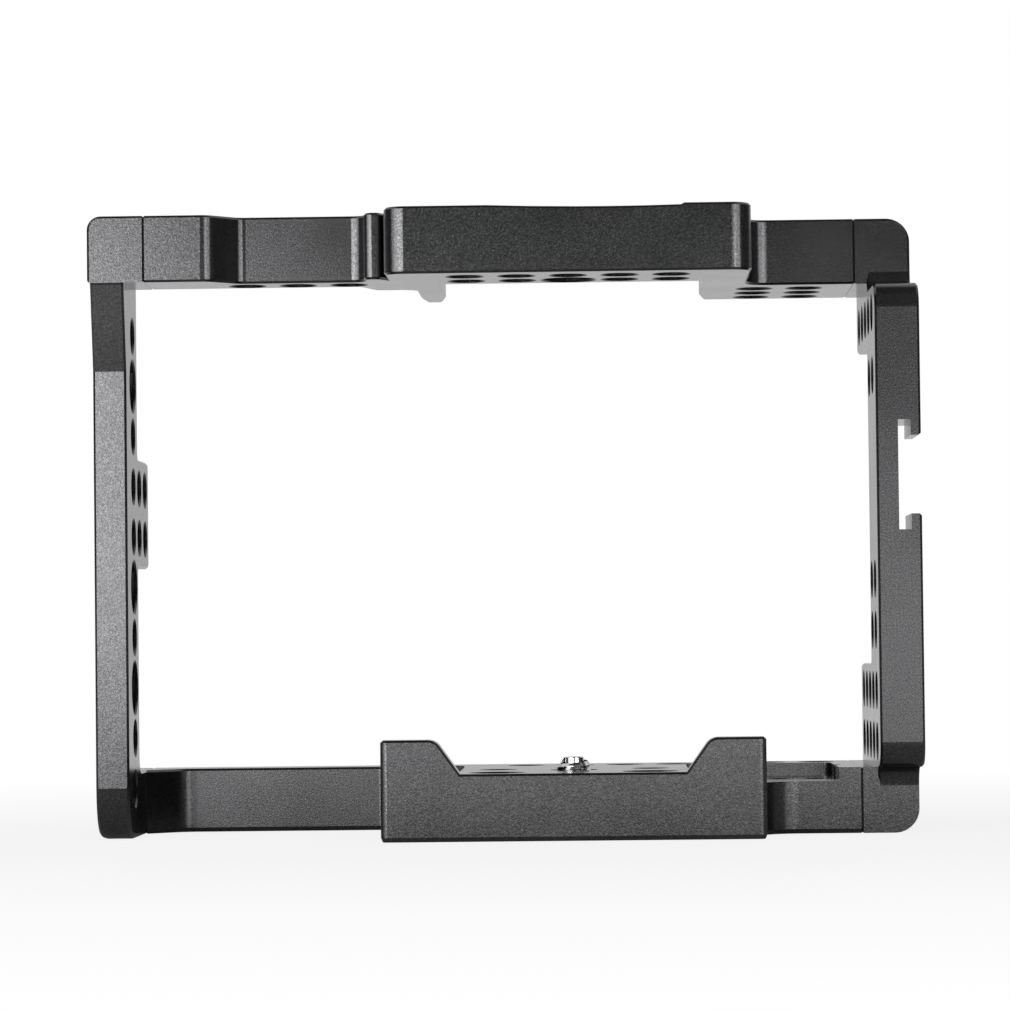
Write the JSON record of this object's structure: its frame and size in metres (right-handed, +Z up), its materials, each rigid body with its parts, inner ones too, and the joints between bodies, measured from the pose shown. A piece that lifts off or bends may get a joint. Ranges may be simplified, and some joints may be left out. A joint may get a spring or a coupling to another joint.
{
  "type": "camera cage",
  "caption": "Bolted aluminium plate frame that encloses a mirrorless camera, with rows of threaded accessory holes, a side accessory shoe and a captive camera screw with a folding ring.",
  "frame": {"origin": "on the camera screw's axis, at the seat that the camera's underside comes to", "axes": "+X from the grip side to the port side, +Y from the lens side to the screen side, +Z up along the camera screw"},
  "size_m": [0.1455, 0.062, 0.1096],
  "materials": {
    "anodised_plate": "bead-blasted, black anodised",
    "seat_rubber": "matte, fine texture",
    "camera_screw_steel": "turned stainless steel",
    "black_screw": "black oxide",
    "dowel_steel": "ground"
  },
  "bodies": {
    "cage": {"top_plate": "anodised_plate", "base_plate": "anodised_plate", "grip_side_plate": "anodised_plate", "port_side_plate": "anodised_plate", "grip_seat_pad": "seat_rubber", "port_seat_pad": "seat_rubber", "grip_top_screw_1": "black_screw", "grip_top_screw_2": "black_screw", "port_top_screw_1": "black_screw", "port_top_screw_2": "black_screw", "grip_base_screw_1": "black_screw", "grip_base_screw_2": "black_screw", "port_base_screw_1": "black_screw", "port_base_screw_2": "black_screw", "grip_top_dowel": "dowel_steel", "port_top_dowel": "dowel_steel", "grip_base_dowel": "dowel_steel", "port_base_dowel": "dowel_steel"},
    "screw_washer": {"camera_screw_washer": "camera_screw_steel"},
    "screw": {"camera_screw": "camera_screw_steel"},
    "ring": {"camera_screw_ring": "camera_screw_steel"}
  },
  "joints": [
    {"name": "screw_lift", "type": "slide", "parent": "cage", "child": "screw_washer", "axis": [0, 0, 1], "range_m": [0, 0.00215]},
    {"name": "screw_turn", "type": "hinge", "parent": "screw_washer", "child": "screw", "pos_m": [0, 0, 0], "axis": [0, 0, 1], "continuous": true},
    {"name": "ring_fold", "type": "hinge", "parent": "screw", "child": "ring", "pos_m": [0, 0, -0.0085], "axis": [-1, 0, 0], "range_deg": [0, 180]}
  ]
}
